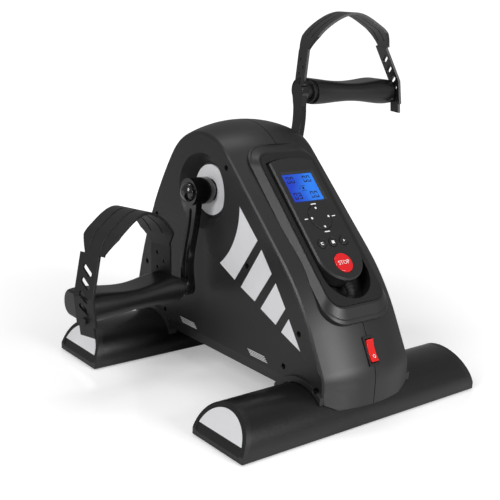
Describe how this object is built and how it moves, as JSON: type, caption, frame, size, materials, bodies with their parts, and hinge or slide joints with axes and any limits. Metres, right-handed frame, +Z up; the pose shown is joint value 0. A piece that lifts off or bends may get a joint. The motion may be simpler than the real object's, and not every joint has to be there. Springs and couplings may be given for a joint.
{
  "type": "pedal exerciser",
  "caption": "Motorised pedal exerciser: slanted console with lift-out handset on a crowned body, two floor feet, and a crank with two strapped foot pedals.",
  "frame": {"origin": "on the floor, centre of the footprint's bounding box", "axes": "+Z up, X across the machine with the left side at -X, the console end at -Y"},
  "size_m": [0.4538, 0.3633, 0.4017],
  "materials": {
    "black_plastic": "fine moulded grain",
    "foot_black": "satin black powder coat",
    "cap_black": "smooth satin",
    "silver_trim": "satin silver-grey",
    "rubber": "matt",
    "zinc": "zinc plated",
    "frame_steel": "matt grey paint",
    "steel": "turned",
    "gloss_black": "high gloss black",
    "board_green": "solder mask",
    "belt_black": "ribbed",
    "pulley_grey": "glass filled nylon",
    "handset_black": "fine satin",
    "stop_red": "gloss red",
    "switch_red": "translucent red",
    "lcd_clear": "clear window",
    "lcd_blue": "backlit",
    "pedal_black": "satin",
    "strap_black": "satin flexible"
  },
  "bodies": {
    "base": {"front_foot": "foot_black", "rear_foot": "foot_black", "front_foot_caps": "cap_black", "rear_foot_caps": "cap_black", "front_end_plates": "silver_trim", "rear_end_plates": "silver_trim", "foot_pads": "rubber", "foot_saddles": "cap_black", "foot_bolts": "zinc", "base_rail": "frame_steel", "bearing_housing": "frame_steel", "crank_bearings": "steel", "left_upright": "frame_steel", "right_upright": "frame_steel", "gear_motor": "steel", "motor_bracket": "frame_steel", "drive_belt": "belt_black", "left_shell": "black_plastic", "right_shell": "black_plastic", "shell_screws": "zinc", "left_hub_disc": "silver_trim", "right_hub_disc": "silver_trim", "console_bezel": "black_plastic", "console_tray": "black_plastic", "cable_grommet": "rubber", "switch_housing": "cap_black", "power_inlet": "cap_black", "board_standoffs": "zinc", "control_board": "board_green"},
    "crank": {"crank_shaft": "steel", "drive_pulley": "pulley_grey", "left_crank_arm": "gloss_black", "right_crank_arm": "gloss_black", "left_crank_cap": "gloss_black", "right_crank_cap": "gloss_black", "left_pedal_spindle": "steel", "right_pedal_spindle": "steel"},
    "left_pedal_body": {"left_pedal": "pedal_black", "left_strap": "strap_black", "left_pedal_collar": "cap_black"},
    "right_pedal_body": {"right_pedal": "pedal_black", "right_strap": "strap_black", "right_pedal_collar": "cap_black"},
    "motor_rotor": {"motor_pulley": "pulley_grey"},
    "handset": {"handset_front": "handset_black", "handset_back": "handset_black", "lcd_window": "lcd_clear", "lcd_module": "lcd_blue", "handset_board": "board_green", "strain_relief": "rubber", "handset_lead": "rubber"},
    "pad_gimbal": {"pad_pivot": "cap_black"},
    "pad": {"direction_pad": "handset_black"},
    "stop_key": {"stop_button": "stop_red"},
    "left_key": {"left_button": "handset_black"},
    "middle_key": {"middle_button": "handset_black"},
    "right_key": {"right_button": "handset_black"},
    "power_key": {"switch_key": "switch_red"}
  },
  "joints": [
    {"name": "crank_spin", "type": "hinge", "parent": "base", "child": "crank", "pos_m": [0, 0.04025, 0.205], "axis": [1, 0, 0], "continuous": true},
    {"name": "left_pedal_spin", "type": "hinge", "parent": "crank", "child": "left_pedal_body", "pos_m": [-0.15, 0.03082, 0.10143], "axis": [1, 0, 0], "continuous": true},
    {"name": "right_pedal_spin", "type": "hinge", "parent": "crank", "child": "right_pedal_body", "pos_m": [0.15, 0.04968, 0.30857], "axis": [1, 0, 0], "continuous": true},
    {"name": "motor_spin", "type": "hinge", "parent": "base", "child": "motor_rotor", "pos_m": [0.027, -0.06925, 0.112], "axis": [1, 0, 0], "continuous": true},
    {"name": "handset_lift", "type": "slide", "parent": "base", "child": "handset", "axis": [0, -0.7071, 0.7071], "range_m": [0, 0.03]},
    {"name": "pad_tilt_x", "type": "hinge", "parent": "handset", "child": "pad_gimbal", "pos_m": [0, -0.0832, 0.19337], "axis": [1, 0, 0], "range_deg": [-3, 3], "stiffness_Nm_per_rad": 0.5},
    {"name": "pad_tilt_y", "type": "hinge", "parent": "pad_gimbal", "child": "pad", "pos_m": [0, -0.0832, 0.19337], "axis": [0, 0.7071, 0.7071], "range_deg": [-3, 3], "stiffness_Nm_per_rad": 0.5},
    {"name": "stop_press", "type": "slide", "parent": "handset", "child": "stop_key", "axis": [0, 0.7071, -0.7071], "range_m": [0, 0.001], "stiffness_N_per_m": 400},
    {"name": "left_press", "type": "slide", "parent": "handset", "child": "left_key", "axis": [0, 0.7071, -0.7071], "range_m": [0, 0.0008], "stiffness_N_per_m": 400},
    {"name": "middle_press", "type": "slide", "parent": "handset", "child": "middle_key", "axis": [0, 0.7071, -0.7071], "range_m": [0, 0.0008], "stiffness_N_per_m": 400},
    {"name": "right_press", "type": "slide", "parent": "handset", "child": "right_key", "axis": [0, 0.7071, -0.7071], "range_m": [0, 0.0008], "stiffness_N_per_m": 400},
    {"name": "power_rock", "type": "hinge", "parent": "base", "child": "power_key", "pos_m": [0, -0.17153, 0.0767], "axis": [1, 0, 0], "range_deg": [0, 20]}
  ],
  "couplings": [
    {"joint": "motor_spin", "follows": "crank_spin", "ratio": 3.7642},
    {"joint": "left_pedal_spin", "follows": "crank_spin", "ratio": -1},
    {"joint": "right_pedal_spin", "follows": "crank_spin", "ratio": -1}
  ]
}
